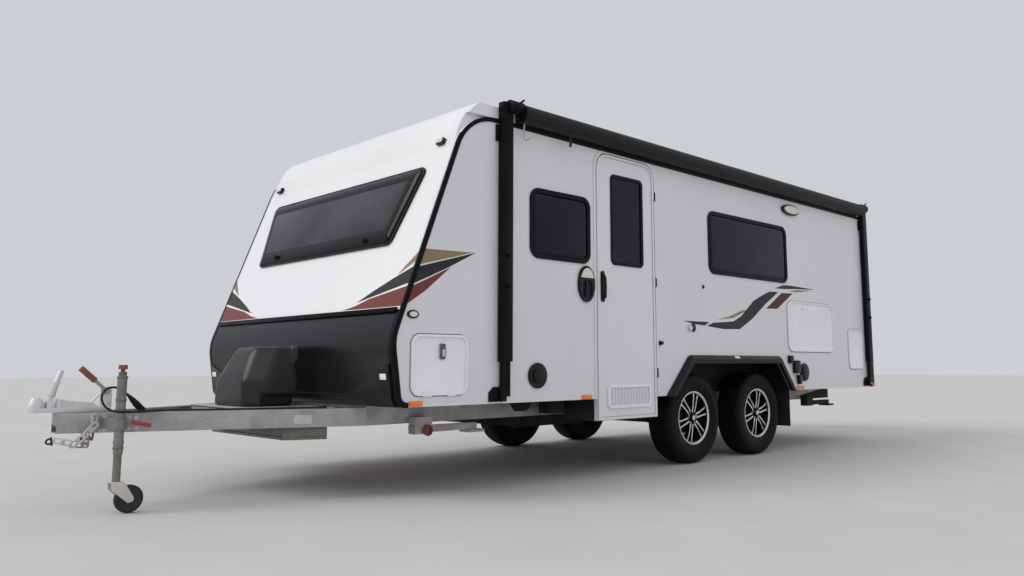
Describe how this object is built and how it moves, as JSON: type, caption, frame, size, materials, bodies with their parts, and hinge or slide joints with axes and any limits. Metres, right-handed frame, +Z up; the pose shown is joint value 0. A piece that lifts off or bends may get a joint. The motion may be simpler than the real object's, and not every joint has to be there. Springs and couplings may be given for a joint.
{
  "type": "tandem-axle touring caravan",
  "caption": "White touring caravan with a leaning front window, entry door, rolled side awning, drawbar with ball coupling and jockey wheel.",
  "frame": {"origin": "on the ground, at the middle of the overall length and of the body width", "axes": "+X to the entry door side, +Y to the rear, +Z up; the ground is Z = 0 and the drawbar points to -Y"},
  "size_m": [2.6218, 7.83, 2.599],
  "materials": {
    "white": "gelcoat white",
    "black": "satin black moulding",
    "glass": "dark tinted acrylic",
    "galvanised": "galvanised",
    "cast": "silver-white paint",
    "tyre": "black rubber",
    "rubber": "black rubber",
    "alloy": "black alloy with machined faces",
    "ply": "plywood",
    "amber": "amber lens",
    "red": "red lens",
    "rust": "rust-red plastic",
    "lens": "cream lens",
    "fabric": "rolled black vinyl"
  },
  "bodies": {
    "body": {"awning_arms": "black", "awning_roll": "fabric", "axles": "galvanised", "body_front": "white", "body_left": "white", "body_rear": "white", "body_right": "white", "chassis": "galvanised", "coupling": "cast", "drawbar": "galvanised", "edge_trim": "black", "floor": "ply", "front_shield": "black", "gas_cover": "black", "jockey_tube": "galvanised", "lamp_lenses": "lens", "lead": "rubber", "lead_ends": "rubber", "markers": "amber", "mud_flaps": "rubber", "rear_lamps": "red", "roof": "white", "roof_hatches": "white", "safety_chains": "galvanised", "side_fittings": "black", "step_well": "galvanised", "tank": "black", "wheel_arches": "black", "wheel_boxes": "ply", "window_frames": "black", "window_panes": "glass"},
    "wheel_front_left": {"tyre_front_left": "tyre", "rim_front_left": "alloy"},
    "wheel_front_right": {"tyre_front_right": "tyre", "rim_front_right": "alloy"},
    "wheel_rear_left": {"tyre_rear_left": "tyre", "rim_rear_left": "alloy"},
    "wheel_rear_right": {"tyre_rear_right": "tyre", "rim_rear_right": "alloy"},
    "entry_door": {"entry_door": "white", "door_trim": "black", "door_glass": "glass"},
    "front_lid": {"front_lid": "white"},
    "front_lid_right": {"front_lid_right": "white"},
    "heater_lid": {"heater_lid": "white"},
    "rear_lid": {"rear_lid": "white"},
    "coupling_handle": {"coupling_handle": "cast"},
    "handbrake": {"handbrake": "rust"},
    "jockey_crank": {"jockey_crank": "rust"},
    "jockey_leg": {"jockey_leg": "galvanised"},
    "jockey_fork": {"jockey_fork": "cast"},
    "jockey_wheel": {"jockey_wheel": "rubber"},
    "steady_front_left": {"steady_front_left": "galvanised"},
    "steady_front_right": {"steady_front_right": "galvanised"},
    "steady_rear_left": {"steady_rear_left": "galvanised"},
    "steady_rear_right": {"steady_rear_right": "galvanised"}
  },
  "joints": [
    {"name": "wheel_front_left_spin", "type": "hinge", "parent": "body", "child": "wheel_front_left", "pos_m": [1.063, 0.61, 0.365], "axis": [1, 0, 0], "continuous": true},
    {"name": "wheel_front_right_spin", "type": "hinge", "parent": "body", "child": "wheel_front_right", "pos_m": [-1.063, 0.61, 0.365], "axis": [1, 0, 0], "continuous": true},
    {"name": "wheel_rear_left_spin", "type": "hinge", "parent": "body", "child": "wheel_rear_left", "pos_m": [1.063, 1.588, 0.365], "axis": [1, 0, 0], "continuous": true},
    {"name": "wheel_rear_right_spin", "type": "hinge", "parent": "body", "child": "wheel_rear_right", "pos_m": [-1.063, 1.588, 0.365], "axis": [1, 0, 0], "continuous": true},
    {"name": "entry_door_hinge", "type": "hinge", "parent": "body", "child": "entry_door", "pos_m": [1.238, 0.037, 1.4], "axis": [0, 0, 1], "range_deg": [0, 95]},
    {"name": "front_lid_hinge", "type": "hinge", "parent": "body", "child": "front_lid", "pos_m": [1.236, -2.064, 0.618], "axis": [0, 1, 0], "range_deg": [0, 90]},
    {"name": "front_lid_right_hinge", "type": "hinge", "parent": "body", "child": "front_lid_right", "pos_m": [-1.236, -2.064, 0.618], "axis": [0, -1, 0], "range_deg": [0, 90]},
    {"name": "heater_lid_hinge", "type": "hinge", "parent": "body", "child": "heater_lid", "pos_m": [1.236, 2.5185, 0.917], "axis": [0, 1, 0], "range_deg": [0, 90]},
    {"name": "rear_lid_hinge", "type": "hinge", "parent": "body", "child": "rear_lid", "pos_m": [1.236, 3.306, 0.958], "axis": [0, 0, -1], "range_deg": [0, 90]},
    {"name": "coupling_handle_hinge", "type": "hinge", "parent": "body", "child": "coupling_handle", "pos_m": [0, -3.811, 0.606], "axis": [1, 0, 0], "range_deg": [0, 25]},
    {"name": "handbrake_hinge", "type": "hinge", "parent": "body", "child": "handbrake", "pos_m": [-0.058, -3.5, 0.655], "axis": [-1, 0, 0], "range_deg": [0, 50]},
    {"name": "jockey_crank_turn", "type": "hinge", "parent": "body", "child": "jockey_crank", "pos_m": [0.27539, -3.527, 0.743], "axis": [0, 0, 1], "continuous": true},
    {"name": "jockey_leg_slide", "type": "slide", "parent": "body", "child": "jockey_leg", "axis": [0, 0, 1], "range_m": [-0.05, 0.14]},
    {"name": "jockey_swivel", "type": "hinge", "parent": "jockey_leg", "child": "jockey_fork", "pos_m": [0.27539, -3.527, 0.16], "axis": [0, 0, 1], "continuous": true},
    {"name": "jockey_wheel_spin", "type": "hinge", "parent": "jockey_fork", "child": "jockey_wheel", "pos_m": [0.27539, -3.457, 0.075], "axis": [1, 0, 0], "continuous": true},
    {"name": "steady_front_left_hinge", "type": "hinge", "parent": "body", "child": "steady_front_left", "pos_m": [0.798, -1.855, 0.392], "axis": [-1, 0, 0], "range_deg": [0, 40]},
    {"name": "steady_front_right_hinge", "type": "hinge", "parent": "body", "child": "steady_front_right", "pos_m": [-0.798, -1.855, 0.392], "axis": [-1, 0, 0], "range_deg": [0, 40]},
    {"name": "steady_rear_left_hinge", "type": "hinge", "parent": "body", "child": "steady_rear_left", "pos_m": [0.798, 3.205, 0.392], "axis": [-1, 0, 0], "range_deg": [0, 40]},
    {"name": "steady_rear_right_hinge", "type": "hinge", "parent": "body", "child": "steady_rear_right", "pos_m": [-0.798, 3.205, 0.392], "axis": [-1, 0, 0], "range_deg": [0, 40]}
  ]
}
